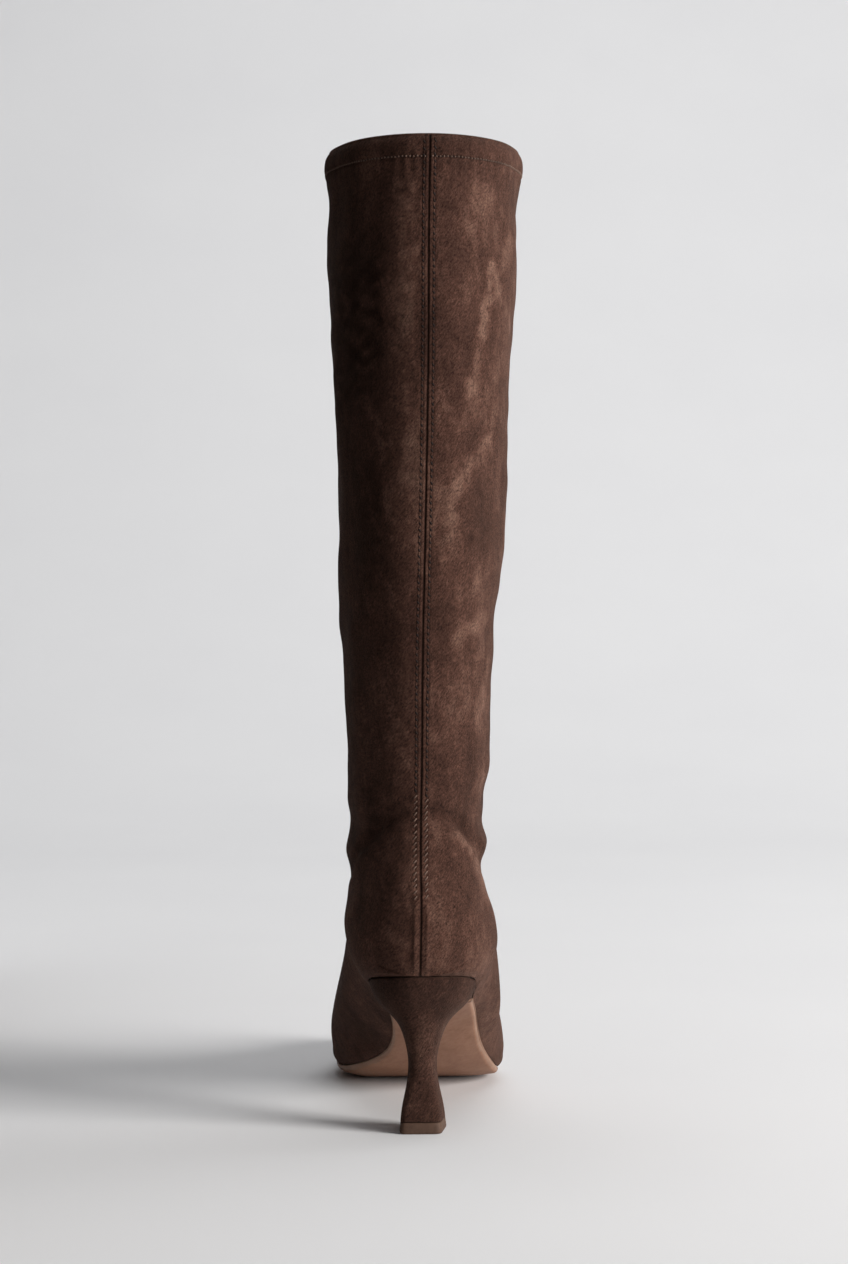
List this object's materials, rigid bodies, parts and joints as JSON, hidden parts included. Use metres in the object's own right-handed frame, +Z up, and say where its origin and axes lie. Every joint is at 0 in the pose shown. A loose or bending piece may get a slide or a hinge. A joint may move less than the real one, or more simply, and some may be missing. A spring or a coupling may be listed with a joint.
{
  "type": "knee_high_boot",
  "caption": "Knee-high pull-on boot in dark brown stretch suede for the right foot, with an almond toe, a flared suede-covered heel and a tan leather outsole",
  "frame": {"origin": "the floor under the middle of the boot's bounding box", "axes": "+Z up; +Y from the heel towards the toe; +X towards the wearer's right, the outer side of this foot"},
  "size_m": [0.0938, 0.255, 0.46],
  "materials": {
    "suede": "napped, matte",
    "lining": "matte",
    "sole_leather": "satin",
    "heel_suede": "napped, matte",
    "top_piece_rubber": "satin"
  },
  "bodies": {
    "root": {"upper": "suede", "insole": "lining", "outsole": "sole_leather", "heel": "heel_suede", "top_piece": "top_piece_rubber"}
  },
  "joints": []
}
